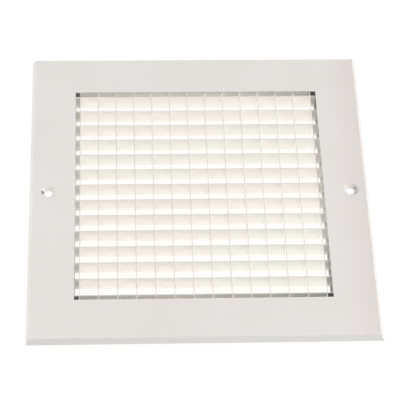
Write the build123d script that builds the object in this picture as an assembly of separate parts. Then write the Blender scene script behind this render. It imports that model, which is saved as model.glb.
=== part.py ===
"""Eggcrate grille: a white frame of four mitred lengths, closed round a core of interlocked thin blades.

It lies face up. The origin is the centre of the neck's rear rim, +Z points out of the face, +X to the right
and +Y up the grille. Millimetres throughout.
"""

from build123d import *
import math
import os

# Clear opening in the face, and the flat border round it
OPENING_WIDTH = 172.5
OPENING_HEIGHT = 172.5
FLANGE_WIDTH = 29.1

# Slanted outer lip: how far it runs out and how far it drops to the wall
LIP_RUN = 2.3
LIP_DROP = 4.8

# Frame section
WALL = 1.0
FACE_EDGE_RADIUS = 0.4
OPENING_EDGE_RADIUS = 0.2
REAR_EDGE_RADIUS = 0.3
CHANNEL_REACH = 1.0

# Core of thin blades
CELL_PITCH = 12.7
BLADE_DEPTH = 12.7
BLADE_THICKNESS = 0.5
BLADE_END_CLEARANCE = 0.35
CORE_SIDE_GAP = 0.05
BLADE_REAR_CLEARANCE = 0.1
SLOT_SIDE_CLEARANCE = 0.05
SLOT_END_CLEARANCE = 0.05

# Corner keys and the ribs that hold them behind the flange
KEY_WIDTH = 8.0
KEY_LEG = 30.0
KEY_THICKNESS = 1.5
KEY_CLEARANCE = 0.1
KEY_CORNER_RADIUS = 1.5
KEY_FOOT_REACH = 1.6

# Dimpled countersunk screw holes, in the middle of the left and right flanges
SCREW_INSET = 13.0
SCREW_HOLE_DIAMETER = 5.5
COUNTERSINK_DIAMETER = 10.0
COUNTERSINK_ANGLE = 90.0
COUNTERSINK_RIM_RADIUS = 1.2
SCREW_HOLE_LAND = 0.6

# Heights above the rear rim
BLADE_REAR_HEIGHT = WALL + BLADE_REAR_CLEARANCE
BLADE_FRONT_HEIGHT = BLADE_REAR_HEIGHT + BLADE_DEPTH
FACE_HEIGHT = BLADE_FRONT_HEIGHT + WALL
WALL_PLANE_HEIGHT = FACE_HEIGHT - LIP_DROP
KEY_TOP_HEIGHT = FACE_HEIGHT - WALL
KEY_FOOT_HEIGHT = KEY_TOP_HEIGHT - KEY_THICKNESS - KEY_CLEARANCE

# Distances out from the edge of the opening
BORDER = FLANGE_WIDTH + LIP_RUN
NECK_OUTSIDE = CHANNEL_REACH + WALL
KEY_INNER = NECK_OUTSIDE + KEY_CLEARANCE
KEY_OUTER = KEY_INNER + KEY_WIDTH
KEY_RIB = KEY_OUTER + KEY_CLEARANCE
SCREW_OUT = BORDER - SCREW_INSET

# The core lies to the left in its channel, with this much of the play taken up
CORE_SHIFT = BLADE_END_CLEARANCE - CORE_SIDE_GAP


def box_face(inner, outer, low, high):
    """A rectangle of the frame section, from inner to outer and from low to high."""
    return Pos((inner + outer) / 2, (low + high) / 2) * Rectangle(outer - inner, high - low)


def frame_section():
    """The section: X is the distance out from the opening's edge, and Y is the height above the rear rim."""
    slope = LIP_RUN / LIP_DROP
    rim = WALL * math.hypot(1, slope)
    under_face = FACE_HEIGHT - WALL
    outline = Polyline(
        (0, FACE_HEIGHT),
        (FLANGE_WIDTH, FACE_HEIGHT),
        (BORDER, WALL_PLANE_HEIGHT),
        (BORDER - rim, WALL_PLANE_HEIGHT),
        (FLANGE_WIDTH - rim + slope * WALL, under_face),
        (0, under_face),
        close=True,
    )
    flange = make_face(outline)
    face_edge = flange.vertices().group_by(Axis.Y)[-1].sort_by(Axis.X)
    flange = fillet(face_edge[-1], FACE_EDGE_RADIUS)
    face_edge = flange.vertices().group_by(Axis.Y)[-1].sort_by(Axis.X)
    flange = fillet(face_edge[0], OPENING_EDGE_RADIUS)

    neck = box_face(CHANNEL_REACH, NECK_OUTSIDE, 0, under_face)
    rear_lip = box_face(0, CHANNEL_REACH, 0, WALL)

    foot_low = KEY_FOOT_HEIGHT - WALL
    neck_foot = box_face(NECK_OUTSIDE, NECK_OUTSIDE + KEY_FOOT_REACH, foot_low, KEY_FOOT_HEIGHT)
    key_rib = box_face(KEY_RIB, KEY_RIB + WALL, foot_low, under_face)
    rib_foot = box_face(KEY_RIB - KEY_FOOT_REACH, KEY_RIB, foot_low, KEY_FOOT_HEIGHT)
    section = flange + neck + rear_lip + neck_foot + key_rib + rib_foot
    return fillet(section.vertices().group_by(Axis.Y)[0], REAR_EDGE_RADIUS)


def frame_length(opening_side):
    """A mitred length, with the edge of the opening on the X axis and the flange towards -Y."""
    overall = opening_side + 2 * BORDER
    across = Plane(origin=(-overall / 2, 0, 0), x_dir=(0, -1, 0), z_dir=(-1, 0, 0))
    bar = extrude(across * frame_section(), overall, dir=(1, 0, 0))
    mitre = Polyline(
        (-opening_side / 2, 0),
        (opening_side / 2, 0),
        (overall / 2, -BORDER),
        (-overall / 2, -BORDER),
        close=True,
    )
    return bar & extrude(make_face(mitre), FACE_HEIGHT, dir=(0, 0, 1))


def dimple():
    """The pressed seat round a screw hole and the cone and hole through it, on the Z axis below the face."""
    half_angle = math.radians(COUNTERSINK_ANGLE / 2)
    taper = math.tan(half_angle)
    rim_radius = COUNTERSINK_DIAMETER / 2
    hole_radius = SCREW_HOLE_DIAMETER / 2
    seat_radius = rim_radius + WALL / math.cos(half_angle)
    cone_depth = (rim_radius - hole_radius) / taper
    depth = cone_depth + SCREW_HOLE_LAND

    def turned(*points):
        return revolve(Plane.XZ * make_face(Polyline(*points, close=True)), Axis.Z)

    seat = turned(
        (0, FACE_HEIGHT),
        (seat_radius, FACE_HEIGHT),
        (seat_radius - depth * taper, FACE_HEIGHT - depth),
        (0, FACE_HEIGHT - depth),
    )
    hole = turned(
        (0, FACE_HEIGHT),
        (rim_radius, FACE_HEIGHT),
        (hole_radius, FACE_HEIGHT - cone_depth),
        (hole_radius, FACE_HEIGHT - depth),
        (0, FACE_HEIGHT - depth),
    )
    return seat, hole


def screwed_length(opening_side):
    """A mitred length with a dimpled screw hole, soft at the rim, in the middle of its flange."""
    seat, hole = dimple()
    place = Pos(0, -SCREW_OUT, 0)
    length = frame_length(opening_side) + place * seat - place * hole
    rim = length.edges().filter_by(GeomType.CIRCLE).sort_by(Axis.Z)[-1]
    return fillet(rim, COUNTERSINK_RIM_RADIUS)


def corner_key():
    """A flat right-angle key. The corner of the opening is at the origin, and the legs run towards -X and -Y."""
    inner, outer, end = KEY_INNER, KEY_OUTER, KEY_INNER - KEY_LEG
    outline = Polyline(
        (end, inner),
        (inner, inner),
        (inner, end),
        (outer, end),
        (outer, outer),
        (end, outer),
        close=True,
    )
    plate = make_face(outline)
    leg_ends = plate.vertices().group_by(Axis.X)[0] + plate.vertices().group_by(Axis.Y)[0]
    plate = fillet(leg_ends, KEY_CORNER_RADIUS)
    return Pos(0, 0, KEY_TOP_HEIGHT - KEY_THICKNESS) * extrude(plate, KEY_THICKNESS, dir=(0, 0, 1))


def blade_places(opening_side):
    """Places of the blades across an opening: as many whole cells as fit, centred."""
    cells = int(opening_side // CELL_PITCH)
    return [(index - cells / 2) * CELL_PITCH for index in range(cells + 1)]


def blade(opening_side, crossings, slot_low, slot_high):
    """A blade that runs along X, with a slot from slot_low to slot_high at each crossing."""
    length = opening_side + 2 * (CHANNEL_REACH - BLADE_END_CLEARANCE)
    strip = box_face(-length / 2, length / 2, BLADE_REAR_HEIGHT, BLADE_FRONT_HEIGHT)
    slot_width = BLADE_THICKNESS + 2 * SLOT_SIDE_CLEARANCE
    slots = [box_face(at - slot_width / 2, at + slot_width / 2, slot_low, slot_high) for at in crossings]
    return extrude(Plane.XZ * (strip - slots), BLADE_THICKNESS / 2, both=True)


def frame_pieces():
    """The four mitred lengths, each turned to its side of the opening."""
    half_width, half_height = OPENING_WIDTH / 2, OPENING_HEIGHT / 2
    return {
        "frame_bottom": Pos(0, -half_height) * frame_length(OPENING_WIDTH),
        "frame_right": Pos(half_width, 0) * Rot(0, 0, 90) * screwed_length(OPENING_HEIGHT),
        "frame_top": Pos(0, half_height) * Rot(0, 0, 180) * frame_length(OPENING_WIDTH),
        "frame_left": Pos(-half_width, 0) * Rot(0, 0, 270) * screwed_length(OPENING_HEIGHT),
    }


def key_pieces():
    """A key in each corner, from the top right corner round anticlockwise."""
    corners = [(1, 1), (-1, 1), (-1, -1), (1, -1)]
    pieces = {}
    for index, (right, up) in enumerate(corners):
        corner = Pos(right * OPENING_WIDTH / 2, up * OPENING_HEIGHT / 2)
        pieces[f"corner_key_{index + 1:02d}"] = corner * Rot(0, 0, 90 * index) * corner_key()
    return pieces


def blade_pieces():
    """Cross blades from the bottom up, slotted from the rear, and upright ones from the left, from the front."""
    columns = blade_places(OPENING_WIDTH)
    rows = blade_places(OPENING_HEIGHT)
    middle = (BLADE_REAR_HEIGHT + BLADE_FRONT_HEIGHT) / 2
    cross = blade(OPENING_WIDTH, columns, BLADE_REAR_HEIGHT, middle + SLOT_END_CLEARANCE)
    upright = blade(OPENING_HEIGHT, rows, middle - SLOT_END_CLEARANCE, BLADE_FRONT_HEIGHT)
    pieces = {}
    for index, row in enumerate(rows):
        pieces[f"cross_blade_{index + 1:02d}"] = Pos(-CORE_SHIFT, row) * cross
    for index, column in enumerate(columns):
        pieces[f"upright_blade_{index + 1:02d}"] = Pos(column - CORE_SHIFT, 0) * Rot(0, 0, 90) * upright
    return pieces


os.makedirs("parts", exist_ok=True)
for name, piece in (frame_pieces() | key_pieces() | blade_pieces()).items():
    export_step(piece, f"parts/{name}.step")
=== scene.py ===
"""Eggcrate grille: a powder-coated frame round a core of enamelled blades, on a white table."""

import math
from collections import namedtuple

import bpy
from mathutils import Matrix, Vector


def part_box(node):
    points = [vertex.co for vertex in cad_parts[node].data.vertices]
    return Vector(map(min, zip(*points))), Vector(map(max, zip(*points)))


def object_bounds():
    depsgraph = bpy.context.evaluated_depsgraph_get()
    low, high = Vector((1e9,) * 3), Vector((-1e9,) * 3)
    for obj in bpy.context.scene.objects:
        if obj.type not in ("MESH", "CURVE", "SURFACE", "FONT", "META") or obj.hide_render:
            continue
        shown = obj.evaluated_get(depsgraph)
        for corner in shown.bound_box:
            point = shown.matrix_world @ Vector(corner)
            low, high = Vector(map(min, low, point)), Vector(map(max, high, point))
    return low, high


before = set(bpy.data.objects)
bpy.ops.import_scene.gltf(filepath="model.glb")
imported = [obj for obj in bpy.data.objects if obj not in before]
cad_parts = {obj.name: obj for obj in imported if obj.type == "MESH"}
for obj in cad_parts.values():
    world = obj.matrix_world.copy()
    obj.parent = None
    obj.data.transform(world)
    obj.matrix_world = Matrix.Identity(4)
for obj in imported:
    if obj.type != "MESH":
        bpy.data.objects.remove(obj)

cad_low, cad_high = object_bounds()

# Places on the part, in metres: half the width of the opening, the run of the slanted lip, half the
# width of the flat face and of the space inside the outermost blades, the height of the core's
# front, the pitch of the cross blades, and how far the core's channel reaches past the opening
OPENING_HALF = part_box("frame_right")[0].x
LIP_RUN = 0.0023
FACE_HALF = cad_high.x - LIP_RUN
CORE_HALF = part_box("cross_blade_14")[0].y
CORE_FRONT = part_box("cross_blade_14")[1].z
CROSS_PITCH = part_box("cross_blade_02")[0].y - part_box("cross_blade_01")[0].y
CHANNEL_REACH = 0.0010

# The flat face, in metres: how far past the opening the painted shade on the right-hand side
# starts, how wide the change of paint at the lip is, and how far the painted highlight along its
# edges and the seams of its mitres reach. Then the strength of those seams.
RIGHT_SHADE_START = 0.004
LIP_FADE = 0.0002
FACE_EDGE_REACH = 0.0007
OPENING_EDGE_REACH = 0.0004
MITRE_REACH = 0.00003
MITRE_STRENGTH = 0.35

# Painted light on the lower lip: it pales from its left end to its middle, to this share of the
# edges' colour
LIP_LIGHT_SHARE = 0.8

# The paint in the channel, in metres: how far past the opening it starts, how far past the
# channel's reach it ends, how far below the face it stays, and how far below the core's front it
# is greyer with painted shade. Each fades in or out between two values.
CHANNEL_START = (0.0001, 0.0003)
CHANNEL_END = (0.0003, 0.0005)
CHANNEL_DROP = (0.0008, 0.0006)
SHADE_DROP = (0.0032, 0.0010)

# The ends of the blades, past the core, in metres: where their paint starts, and how wide its
# change to the painted shade of the lower side is. Then the shares of the core's height between
# which it turns into the painted light of the rear.
STUB_START = (0.0003, 0.0005)
STUB_LOW_FADE = 0.0005
STUB_REAR_SHARES = (0.25, 0.5)

# The painted shade in the pockets at the corners of the core, in metres: the width of its soft
# edge, how far below the core's front it fades out, and how far from the middle a blade's face
# looks outward into one
POCKET_FADE = 0.0003
POCKET_DROP = (0.0006, 0.0002)
POCKET_OUTWARD = (0.02, 0.04)

# Painted shade darkens the channel and the blade ends towards the corners: the share of the way
# along a side at which that starts, and its strength at the corner
CORNER_START = 0.45
CORNER_STRENGTH = 0.33

# Painted shade darkens the right-hand channel more: the share of the way from its middle at which
# that starts, how far past the core it starts in metres, its share in the channels that lead to it,
# and its strength at the lower and upper end
RIGHT_START = 0.2
RIGHT_INSET = 0.0015
RIGHT_LEAD = 0.35
RIGHT_LOW_STRENGTH = 0.8
RIGHT_HIGH_STRENGTH = 0.35

# Painted shade on the slopes of the screw holes, as dark spots and broader patches: the place of
# each, how far it reaches and how strong it is, then how ragged their outlines and how wide their
# soft edges are
HOLE_SHADE_SPOTS = (
    (Vector((-0.1085, 0.0004, 0.0135)), 0.0015, 1.0),
    (Vector((0.1083, 0.0015, 0.0138)), 0.0010, 1.0),
    (Vector((0.1086, -0.0023, 0.0144)), 0.0009, 1.0),
)
HOLE_SHADE_PATCHES = (
    (Vector((-0.1030, 0.0024, 0.0134)), 0.0034, 0.45),
    (Vector((0.1078, 0.0022, 0.0138)), 0.0030, 1.0),
    (Vector((0.1088, -0.0006, 0.0140)), 0.0028, 1.0),
)
SPOT_RAGGED = 0.0016
SPOT_SHADE_FADE = 0.0004
PATCH_SHADE_FADE = 0.0022

# Specks of painted shade low in the right-hand channel, one beneath each cross blade: its drop
# below the blade and its height, how far it reaches along and up the channel, and the share of
# that at full strength
SPECK_DROP = 0.0025
SPECK_HEIGHT = 0.0040
SPECK_REACH = 0.0009
SPECK_RISE = 0.0017
SPECK_FULL = 0.7

# Camera, in metres and degrees: it looks down on the face from below the grille's middle
CAMERA_PLACE = Vector((-0.0553, -0.6560, 0.9759))
CAMERA_AIM = Vector((-0.00026, -0.0078, cad_high.z))
CAMERA_ROLL = 3.5
CAMERA_LENS_MM = 151.66
CAMERA_SENSOR_MM = 36.0

# Paint and metal colours, linear
FRAME_WHITE = (0.775, 0.746, 0.716)
FRAME_WHITE_PALE = (0.797, 0.769, 0.741)
# Painted shade for the right-hand side of the face
FRAME_RIGHT_SHADE = (0.735, 0.69, 0.665)
# Painted light for the edges of the face and its lower lip
FRAME_EDGE_LIGHT = (0.83, 0.81, 0.78)
MITRE_GREY = (0.30, 0.29, 0.28)
# The channel: whiter than the face as painted light, and greyer and darker as painted shade
CHANNEL_SHADED = (0.95, 0.92, 0.84)
CHANNEL_LIT_WHITE = (0.975, 0.96, 0.92)
CHANNEL_CORNER_SHADE = (0.61, 0.60, 0.555)
CHANNEL_RIGHT_SHADE = (0.55, 0.545, 0.52)
# Blade ends past the core: whiter as painted light, with painted shade low, at corners and right
STUB_LIT_WHITE = (0.97, 0.96, 0.925)
STUB_LOW_SHADE = (0.88, 0.87, 0.835)
STUB_REAR_LIGHT = (0.98, 0.972, 0.95)
STUB_CORNER_SHADE = (0.70, 0.695, 0.66)
STUB_RIGHT_SHADE = (0.50, 0.50, 0.475)
# Painted shade in the corner pockets, paler on the left
POCKET_SHADE = (0.40, 0.395, 0.385)
POCKET_SHADE_PALE = (0.54, 0.535, 0.52)
# Painted shade on the slopes of the screw holes, and in specks in the right-hand channel
HOLE_SPOT_SHADE = (0.20, 0.20, 0.19)
HOLE_PATCH_SHADE = (0.58, 0.57, 0.54)
CREVICE_SHADE_GREY = (0.10, 0.10, 0.095)
# The cross and upright blades share one enamel; their two whites differ as painted light and shade
CROSS_WHITE = (0.946, 0.921, 0.871)
CROSS_WHITE_PALE = (0.959, 0.936, 0.89)
UPRIGHT_WHITE = (0.935, 0.92, 0.89)
UPRIGHT_WHITE_PALE = (0.95, 0.937, 0.91)
BLADE_EDGE = (0.71, 0.69, 0.66)
KEY_GREY = (0.58, 0.59, 0.60)
KEY_GREY_PALE = (0.68, 0.69, 0.70)
TABLE_SHADE = (0.10, 0.10, 0.10)
# Painted light: a warm tint of the table under the opening, as light bounced from the cells
TABLE_BOUNCE_WARM = (1.0, 0.992, 0.965)
TABLE_WHITE = (1.0, 1.0, 1.0)

# Refraction of paint, and the roughness of each finish, from its smoothest places to its roughest
PAINT_IOR = 1.5
FRAME_ROUGHNESS = (0.36, 0.46)
CROSS_ROUGHNESS = (0.34, 0.48)
UPRIGHT_ROUGHNESS = (0.30, 0.42)
KEY_ROUGHNESS = (0.32, 0.5)

# Noise in the finishes: the number of features in a metre, and the detail in them
FRAME_DRIFT = (22, 3)
FRAME_EDGE_PATCHES = (300, 3)
FRAME_GLOSS = (60, 4)
FRAME_PEEL = (650, 2)
FRAME_GRAIN = (4200, 1)
SPOT_OUTLINE = (900, 3)
BLADE_STREAK = (900, 3)
BLADE_DRIFT = (40, 3)
BLADE_GRAIN = (3200, 1)
KEY_LINE = (1500, 3)

# The noise's middle, the span of it in which the tone, the gloss and the painted highlight on the
# edges change, and the shares of that highlight
NOISE_MIDDLE = 0.5
DRIFT_SPAN = (0.35, 0.65)
GLOSS_SPAN = (0.3, 0.7)
EDGE_PATCH_SPAN = (0.4, 0.7)
EDGE_PATCH_SHARES = (0.2, 1)

# The stretch of the streaks along a blade and across it, and of the rolling lines of a key
STREAK_ALONG = 0.02
STREAK_ACROSS = 0.9
KEY_STRETCH = (1, 0.03, 1)

# Bumps in the finishes: their depth in metres, and their strength
PEEL_BUMP = (0.00004, 0.35)
FRAME_GRAIN_BUMP = (0.00001, 0.25)
STREAK_BUMP = (0.00002, 0.25)
BLADE_GRAIN_BUMP = (0.00001, 0.2)
KEY_BUMP = (0.00002, 0.3)

# How upright the normal of a blade's face is where the face turns into a cut edge
CUT_EDGE_RISE = (0.4, 0.6)

# Light: the level of the world, the level at which it is seen as white and its colour, then the
# table's level as it is seen, its glow under the opening and round it, and its size in metres
WORLD_LEVEL = 0.36
WORLD_SEEN_WHITE = 1.0
WORLD_COLOUR = (1, 1, 1, 1)
TABLE_SEEN_WHITE = 0.925
TABLE_GLOW_UNDER = 1.18
TABLE_GLOW_ROUND = 0.95
TABLE_SIZE = 12.0

# Lamps: the name, the place and the size in metres, and the watts of each
LAMPS = (
    ("left_lamp", (-1.10, 0.0, 1.10), 0.8, 10.9),
    ("right_lamp", (1.30, -0.12, 0.765), 0.8, 13.2),
    ("front_lamp", (0.0, -2.20, 2.20), 1.6, 7.0),
)

# Sockets of a mix node that take the share and the two colours, and the one that gives the mixed
# colour
MIX_SHARE = 0
MIX_FIRST = 6
MIX_SECOND = 7
MIX_RESULT = 2

# Outputs that say where a surface is: the place itself, its X, Y and Z, the sizes of X and Y, and
# the greater of those two
Where = namedtuple("Where", "place x y z right up ring")


def add_node(tree, kind, values=None):
    """A new node, with the named input sockets set."""
    node = tree.nodes.new(kind)
    for socket, value in (values or {}).items():
        node.inputs[socket].default_value = value
    return node


def new_material(name, values):
    """A material with a principled shader whose named sockets are set."""
    material = bpy.data.materials.new(name)
    material.use_nodes = True
    tree = material.node_tree
    shader = tree.nodes["Principled BSDF"]
    for socket, value in values.items():
        shader.inputs[socket].default_value = value
    return material, tree, shader


def object_place(tree, stretch=(1, 1, 1)):
    """The place in the part's frame, in metres, stretched along each axis."""
    place = add_node(tree, "ShaderNodeTexCoord").outputs["Object"]
    mapping = add_node(tree, "ShaderNodeMapping", {"Scale": stretch})
    tree.links.new(place, mapping.inputs["Vector"])
    return mapping.outputs["Vector"]


def noise(tree, place, scale, detail):
    """Noise from 0 to 1, with the given number of features in a metre."""
    node = add_node(tree, "ShaderNodeTexNoise", {"Scale": scale, "Detail": detail})
    tree.links.new(place, node.inputs["Vector"])
    return node.outputs["Fac"]


def ranged(tree, value, from_range, to_range):
    """The value carried from one range to another, and held at its ends."""
    limits = {
        "From Min": from_range[0],
        "From Max": from_range[1],
        "To Min": to_range[0],
        "To Max": to_range[1],
    }
    node = add_node(tree, "ShaderNodeMapRange", limits)
    tree.links.new(value, node.inputs["Value"])
    return node.outputs["Result"]


def mixed_colour(tree, share, first, second):
    """A colour between two others. Each is a colour or the output of a node."""
    node = tree.nodes.new("ShaderNodeMix")
    node.data_type = "RGBA"
    tree.links.new(share, node.inputs[MIX_SHARE])
    for index, colour in ((MIX_FIRST, first), (MIX_SECOND, second)):
        if isinstance(colour, tuple):
            node.inputs[index].default_value = (*colour, 1)
        else:
            tree.links.new(colour, node.inputs[index])
    return node.outputs[MIX_RESULT]


def bumped(tree, height, depth, strength, under=None):
    """A normal with bumps of a depth in metres, laid on another normal if one is given."""
    node = add_node(tree, "ShaderNodeBump", {"Distance": depth, "Strength": strength})
    tree.links.new(height, node.inputs["Height"])
    if under is not None:
        tree.links.new(under, node.inputs["Normal"])
    return node.outputs["Normal"]


def worked(tree, operation, *parts):
    """The result of one maths operation. Each part is a number or the output of a node."""
    node = tree.nodes.new("ShaderNodeMath")
    node.operation = operation
    for socket, part in zip(node.inputs, parts):
        if isinstance(part, (int, float)):
            socket.default_value = part
        else:
            tree.links.new(part, socket)
    return node.outputs["Value"]


def combined(tree, operation, *values):
    """The values put together two by two with a maths operation."""
    result = values[0]
    for value in values[1:]:
        result = worked(tree, operation, result, value)
    return result


def size_of(tree, value):
    """The value without its sign."""
    return worked(tree, "ABSOLUTE", value)


def apart(tree, vector):
    """The X, Y and Z of a vector."""
    node = tree.nodes.new("ShaderNodeSeparateXYZ")
    tree.links.new(vector, node.inputs["Vector"])
    return node.outputs["X"], node.outputs["Y"], node.outputs["Z"]


def where(tree):
    """Where the surface is, in the part's frame."""
    place = object_place(tree)
    x, y, z = apart(tree, place)
    right = size_of(tree, x)
    up = size_of(tree, y)
    return Where(place, x, y, z, right, up, combined(tree, "MAXIMUM", right, up))


def near(tree, value, middle, reach, full=0.0):
    """1 within a full share of the reach on either side of the middle, falling to 0 at the reach."""
    distance = size_of(tree, combined(tree, "SUBTRACT", value, middle))
    return ranged(tree, distance, (full * reach, reach), (1, 0))


def below(height, drops):
    """The two heights that lie by two drops below a height."""
    return height - drops[0], height - drops[1]


def past(edge, reaches):
    """The two places that lie by two reaches past an edge."""
    return edge + reaches[0], edge + reaches[1]


def pocket_share(tree, at):
    """1 in the deep corner pockets between the core and the frame, and else 0."""
    inner = combined(tree, "MINIMUM", at.right, at.up)
    return combined(
        tree,
        "MULTIPLY",
        ranged(tree, inner, (CORE_HALF - POCKET_FADE, CORE_HALF), (0, 1)),
        ranged(tree, at.z, below(CORE_FRONT, POCKET_DROP), (1, 0)),
    )


def pocket_colour(tree, at):
    """Painted shade in the corner pockets, paler on the left."""
    rightness = ranged(tree, at.x, (-CORE_HALF, CORE_HALF), (0, 1))
    return mixed_colour(tree, rightness, POCKET_SHADE_PALE, POCKET_SHADE)


def corner_shade_share(tree, at):
    """The strength of the painted shade at the corners of the core, falling to 0 along each side."""
    along = combined(tree, "MINIMUM", at.right, at.up)
    return ranged(tree, along, (CORNER_START * OPENING_HALF, OPENING_HALF), (0, CORNER_STRENGTH))


def right_shade_share(tree, at):
    """The painted shade of the right-hand channel: 0 at its middle, and less in those that meet it.
    """
    start = RIGHT_START * OPENING_HALF
    low = ranged(tree, at.y, (-OPENING_HALF, -start), (RIGHT_LOW_STRENGTH, 0))
    high = ranged(tree, at.y, (start, OPENING_HALF), (0, RIGHT_HIGH_STRENGTH))
    within = ranged(tree, at.x, (CORE_HALF + RIGHT_INSET, OPENING_HALF), (0, 1))
    before = ranged(tree, at.x, (0, OPENING_HALF), (0, RIGHT_LEAD))
    strength = combined(tree, "ADD", low, high)
    return combined(tree, "MULTIPLY", strength, combined(tree, "MAXIMUM", within, before))


def spot_share(tree, place, spots, fade):
    """The strength of ragged spots, each a middle, a reach and a strength, with soft edges."""
    outline = combined(tree, "SUBTRACT", noise(tree, place, *SPOT_OUTLINE), NOISE_MIDDLE)
    ragged = combined(tree, "MULTIPLY", outline, SPOT_RAGGED)
    shares = []
    for middle, reach, strength in spots:
        node = tree.nodes.new("ShaderNodeVectorMath")
        node.operation = "DISTANCE"
        tree.links.new(place, node.inputs[0])
        node.inputs[1].default_value = middle
        distance = combined(tree, "ADD", node.outputs["Value"], ragged)
        shares.append(ranged(tree, distance, (reach - fade, reach), (strength, 0)))
    return combined(tree, "MAXIMUM", *shares)


def crevice_shade_share(tree, at):
    """1 on the specks of painted shade in the right-hand channel, and else 0."""
    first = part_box("cross_blade_01")[0].y
    rows = combined(tree, "DIVIDE", combined(tree, "SUBTRACT", at.y, first), CROSS_PITCH)
    row = worked(tree, "FRACT", rows)
    return combined(
        tree,
        "MULTIPLY",
        near(tree, row, 1 - SPECK_DROP / CROSS_PITCH, SPECK_REACH / CROSS_PITCH, SPECK_FULL),
        near(tree, at.z, SPECK_HEIGHT, SPECK_RISE, SPECK_FULL),
        ranged(tree, at.x, (0, OPENING_HALF), (0, 1)),
    )


def face_colour(tree, at):
    """Frame white with drift and mitre seams; painted light at edges and lip, painted shade at
    right.
    """
    drift = ranged(tree, noise(tree, at.place, *FRAME_DRIFT), DRIFT_SPAN, (0, 1))
    colour = mixed_colour(tree, drift, FRAME_WHITE, FRAME_WHITE_PALE)
    # Painted shade, darkening the face towards its right-hand edge
    face_shade = combined(
        tree,
        "MULTIPLY",
        ranged(tree, at.x, (OPENING_HALF + RIGHT_SHADE_START, FACE_HALF), (0, 1)),
        ranged(tree, at.x, (FACE_HALF - LIP_FADE, FACE_HALF + LIP_FADE), (1, 0)),
    )
    colour = mixed_colour(tree, face_shade, colour, FRAME_RIGHT_SHADE)
    # Painted light, paling the lower lip from its left end towards its middle
    lip = combined(
        tree,
        "MULTIPLY",
        ranged(tree, at.x, (-FACE_HALF, 0), (0, LIP_LIGHT_SHARE)),
        ranged(tree, at.y, (-FACE_HALF - LIP_FADE, -FACE_HALF), (1, 0)),
    )
    colour = mixed_colour(tree, lip, colour, FRAME_EDGE_LIGHT)
    # Painted highlight along the outer and inner edges of the face, in patches
    edges = combined(
        tree,
        "MAXIMUM",
        near(tree, at.ring, FACE_HALF, FACE_EDGE_REACH),
        near(tree, at.ring, OPENING_HALF, OPENING_EDGE_REACH),
    )
    highlight_patches = ranged(tree, noise(tree, at.place, *FRAME_EDGE_PATCHES), EDGE_PATCH_SPAN, EDGE_PATCH_SHARES)
    edge_highlight = combined(tree, "MULTIPLY", edges, highlight_patches)
    colour = mixed_colour(tree, edge_highlight, colour, FRAME_EDGE_LIGHT)
    seam = near(tree, combined(tree, "SUBTRACT", at.right, at.up), 0, MITRE_REACH)
    mitre = combined(tree, "MULTIPLY", seam, MITRE_STRENGTH)
    return mixed_colour(tree, mitre, colour, MITRE_GREY)


def channel_share(tree, at):
    """1 on the inside of the channel that holds the core, and else 0."""
    return combined(
        tree,
        "MULTIPLY",
        ranged(tree, at.ring, past(OPENING_HALF, CHANNEL_START), (0, 1)),
        ranged(tree, at.ring, past(OPENING_HALF + CHANNEL_REACH, CHANNEL_END), (1, 0)),
        ranged(tree, at.z, below(cad_high.z, CHANNEL_DROP), (1, 0)),
    )


def channel_colour(tree, at):
    """Channel paint, whiter as painted light, with painted shade at front, low side, corners and
    right.
    """
    # Painted shade at the channel's front and lower side; its paint is whiter than the face as
    # painted light
    shaded = combined(
        tree,
        "MAXIMUM",
        ranged(tree, at.z, below(CORE_FRONT, SHADE_DROP), (0, 1)),
        ranged(tree, at.y, (-OPENING_HALF, CHANNEL_REACH - OPENING_HALF), (1, 0)),
    )
    colour = mixed_colour(tree, shaded, CHANNEL_LIT_WHITE, CHANNEL_SHADED)
    colour = mixed_colour(tree, corner_shade_share(tree, at), colour, CHANNEL_CORNER_SHADE)
    return mixed_colour(tree, right_shade_share(tree, at), colour, CHANNEL_RIGHT_SHADE)


def frame_paint():
    """Satin powder coat with orange peel, and painted light and shade on face, channel and holes."""
    material, tree, shader = new_material("frame_powder_coat", {"IOR": PAINT_IOR})
    at = where(tree)
    inside = channel_share(tree, at)
    colour = mixed_colour(tree, inside, face_colour(tree, at), channel_colour(tree, at))
    # Painted shade in the corner pockets
    pocket = combined(tree, "MULTIPLY", inside, pocket_share(tree, at))
    colour = mixed_colour(tree, pocket, colour, pocket_colour(tree, at))
    # Painted shade in specks low in the right-hand channel
    crevice_shade = combined(tree, "MULTIPLY", inside, crevice_shade_share(tree, at))
    colour = mixed_colour(tree, crevice_shade, colour, CREVICE_SHADE_GREY)
    # Painted shade on the slopes of the screw holes, in patches and dark spots
    colour = mixed_colour(tree, spot_share(tree, at.place, HOLE_SHADE_PATCHES, PATCH_SHADE_FADE), colour, HOLE_PATCH_SHADE)
    colour = mixed_colour(tree, spot_share(tree, at.place, HOLE_SHADE_SPOTS, SPOT_SHADE_FADE), colour, HOLE_SPOT_SHADE)
    tree.links.new(colour, shader.inputs["Base Color"])
    gloss = ranged(tree, noise(tree, at.place, *FRAME_GLOSS), GLOSS_SPAN, FRAME_ROUGHNESS)
    tree.links.new(gloss, shader.inputs["Roughness"])
    peel = bumped(tree, noise(tree, at.place, *FRAME_PEEL), *PEEL_BUMP)
    grain = bumped(tree, noise(tree, at.place, *FRAME_GRAIN), *FRAME_GRAIN_BUMP, peel)
    tree.links.new(grain, shader.inputs["Normal"])
    return material


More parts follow.
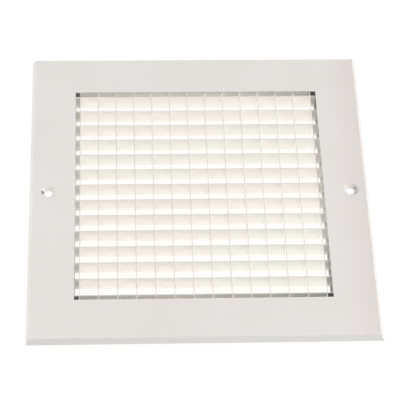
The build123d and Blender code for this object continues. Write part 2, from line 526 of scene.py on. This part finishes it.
def stub_colour(tree, at):
    """Painted light and shade on the ends of the blades: shaded as the channel is, lit at the rear.
    """
    # Painted shade on the ends at the lower side of the core
    low = ranged(tree, at.y, (-CORE_HALF - STUB_LOW_FADE, -CORE_HALF), (1, 0))
    colour = mixed_colour(tree, low, STUB_LIT_WHITE, STUB_LOW_SHADE)
    colour = mixed_colour(tree, corner_shade_share(tree, at), colour, STUB_CORNER_SHADE)
    colour = mixed_colour(tree, right_shade_share(tree, at), colour, STUB_RIGHT_SHADE)
    # Painted light at the rear of the blade ends
    heights = tuple(share * CORE_FRONT for share in STUB_REAR_SHARES)
    rear = ranged(tree, at.z, heights, (1, 0))
    return mixed_colour(tree, rear, colour, STUB_REAR_LIGHT)


def blade_paint(name, along, white, pale, roughness):
    """Baked enamel strip: streaks, greyer cut edges, painted light and shade at ends, shade in
    pockets.
    """
    material, tree, shader = new_material(name, {"IOR": PAINT_IOR})
    stretch = tuple(STREAK_ALONG if runs else STREAK_ACROSS for runs in along)
    streaks = noise(tree, object_place(tree, stretch), *BLADE_STREAK)
    at = where(tree)
    drift = ranged(tree, noise(tree, at.place, *BLADE_DRIFT), DRIFT_SPAN, (0, 1))
    colour = mixed_colour(tree, drift, white, pale)
    facing = apart(tree, add_node(tree, "ShaderNodeNewGeometry").outputs["True Normal"])
    cut_edge = ranged(tree, size_of(tree, facing[2]), CUT_EDGE_RISE, (0, 1))
    colour = mixed_colour(tree, cut_edge, colour, BLADE_EDGE)
    # Painted light and shade on the blade ends past the core
    beyond = ranged(tree, at.ring, past(CORE_HALF, STUB_START), (0, 1))
    beyond = combined(tree, "MULTIPLY", beyond, combined(tree, "SUBTRACT", 1, cut_edge))
    colour = mixed_colour(tree, beyond, colour, stub_colour(tree, at))
    out_x = combined(tree, "MULTIPLY", at.x, facing[0])
    out_y = combined(tree, "MULTIPLY", at.y, facing[1])
    outward = ranged(tree, combined(tree, "ADD", out_x, out_y), POCKET_OUTWARD, (0, 1))
    # Painted shade on blade faces that look out into the corner pockets
    pocket = combined(tree, "MULTIPLY", pocket_share(tree, at), outward)
    colour = mixed_colour(tree, pocket, colour, pocket_colour(tree, at))
    tree.links.new(colour, shader.inputs["Base Color"])
    tree.links.new(ranged(tree, streaks, GLOSS_SPAN, roughness), shader.inputs["Roughness"])
    rolled = bumped(tree, streaks, *STREAK_BUMP)
    grain = bumped(tree, noise(tree, at.place, *BLADE_GRAIN), *BLADE_GRAIN_BUMP, rolled)
    tree.links.new(grain, shader.inputs["Normal"])
    return material


def key_metal():
    """Bare stamped aluminium with fine rolling lines."""
    material, tree, shader = new_material("key_bare_aluminium", {"Metallic": 1.0})
    lines = noise(tree, object_place(tree, KEY_STRETCH), *KEY_LINE)
    colour = mixed_colour(tree, lines, KEY_GREY, KEY_GREY_PALE)
    tree.links.new(colour, shader.inputs["Base Color"])
    tree.links.new(ranged(tree, lines, GLOSS_SPAN, KEY_ROUGHNESS), shader.inputs["Roughness"])
    tree.links.new(bumped(tree, lines, *KEY_BUMP), shader.inputs["Normal"])
    return material


def dress(material, prefix):
    """Gives the material to every CAD node whose name starts with the prefix."""
    for name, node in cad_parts.items():
        if name.startswith(prefix):
            node.data.materials.clear()
            node.data.materials.append(material)


def seen_share(tree):
    """1 for rays that show the background, also in a reflection or through glass, and else 0."""
    path = add_node(tree, "ShaderNodeLightPath")
    rays = ("Is Camera Ray", "Is Glossy Ray", "Is Transmission Ray")
    return combined(tree, "MAXIMUM", *(path.outputs[ray] for ray in rays))


def table():
    """A bright white table. It keeps a faint shadow, and its glow lights the cells from behind."""
    half = TABLE_SIZE / 2
    corners = [(-half, -half), (half, -half), (half, half), (-half, half)]
    mesh = bpy.data.meshes.new("table")
    mesh.from_pydata([(x, y, cad_low.z) for x, y in corners], [], [(0, 1, 2, 3)])
    top = bpy.data.objects.new("table", mesh)
    bpy.context.scene.collection.objects.link(top)
    material = bpy.data.materials.new("table_white")
    material.use_nodes = True
    tree = material.node_tree
    tree.nodes.clear()
    shade = add_node(tree, "ShaderNodeBsdfDiffuse", {"Color": (*TABLE_SHADE, 1)})
    white = tree.nodes.new("ShaderNodeEmission")
    outside = ranged(tree, where(tree).ring, (OPENING_HALF, OPENING_HALF + CHANNEL_REACH), (0, 1))
    # Painted light: a warm tint under the opening, as light bounced from the cells
    tree.links.new(mixed_colour(tree, outside, TABLE_BOUNCE_WARM, TABLE_WHITE), white.inputs["Color"])
    glow = ranged(tree, outside, (0, 1), (TABLE_GLOW_UNDER, TABLE_GLOW_ROUND))
    seen = seen_share(tree)
    unseen = combined(tree, "MULTIPLY", glow, combined(tree, "SUBTRACT", 1, seen))
    level = combined(tree, "ADD", unseen, combined(tree, "MULTIPLY", seen, TABLE_SEEN_WHITE))
    tree.links.new(level, white.inputs["Strength"])
    both = tree.nodes.new("ShaderNodeAddShader")
    tree.links.new(shade.outputs["BSDF"], both.inputs[0])
    tree.links.new(white.outputs["Emission"], both.inputs[1])
    output = tree.nodes.new("ShaderNodeOutputMaterial")
    tree.links.new(both.outputs["Shader"], output.inputs["Surface"])
    mesh.materials.append(material)


def aim(thing, place, target, roll=0.0):
    """Puts a lamp or camera at a place, aimed at a target and rolled by degrees about that line."""
    turn = (target - place).to_track_quat("-Z", "Y").to_matrix().to_4x4()
    rolled = Matrix.Rotation(math.radians(roll), 4, "Z")
    thing.matrix_world = Matrix.Translation(place) @ turn @ rolled


def lamp(name, place, size, watts):
    """A soft square lamp aimed at the middle of the face."""
    data = bpy.data.lights.new(name, "AREA")
    data.shape = "SQUARE"
    data.size = size
    data.energy = watts
    thing = bpy.data.objects.new(name, data)
    bpy.context.scene.collection.objects.link(thing)
    aim(thing, Vector(place), Vector((0, 0, cad_high.z)))


def studio():
    """Even light from all round, high soft lamps at the left and front, a lower one at the right."""
    world = bpy.data.worlds.new("studio")
    world.use_nodes = True
    tree = world.node_tree
    background = tree.nodes["Background"]
    level = ranged(tree, seen_share(tree), (0, 1), (WORLD_LEVEL, WORLD_SEEN_WHITE))
    tree.links.new(level, background.inputs["Strength"])
    background.inputs["Color"].default_value = WORLD_COLOUR
    bpy.context.scene.world = world
    for name, place, size, watts in LAMPS:
        lamp(name, place, size, watts)


def camera():
    """The camera, from where the face is seen as in the photograph."""
    data = bpy.data.cameras.new("camera")
    data.lens = CAMERA_LENS_MM
    data.sensor_width = CAMERA_SENSOR_MM
    thing = bpy.data.objects.new("camera", data)
    bpy.context.scene.collection.objects.link(thing)
    aim(thing, CAMERA_PLACE, CAMERA_AIM, CAMERA_ROLL)
    bpy.context.scene.camera = thing


cross_enamel = blade_paint(
    "cross_blade_enamel", (1, 0, 0), CROSS_WHITE, CROSS_WHITE_PALE, CROSS_ROUGHNESS
)
upright_enamel = blade_paint(
    "upright_blade_enamel", (0, 1, 0), UPRIGHT_WHITE, UPRIGHT_WHITE_PALE, UPRIGHT_ROUGHNESS
)
dress(frame_paint(), "frame_")
dress(cross_enamel, "cross_blade_")
dress(upright_enamel, "upright_blade_")
dress(key_metal(), "corner_key_")
table()
studio()
camera()
bpy.context.scene.view_settings.view_transform = "Standard"
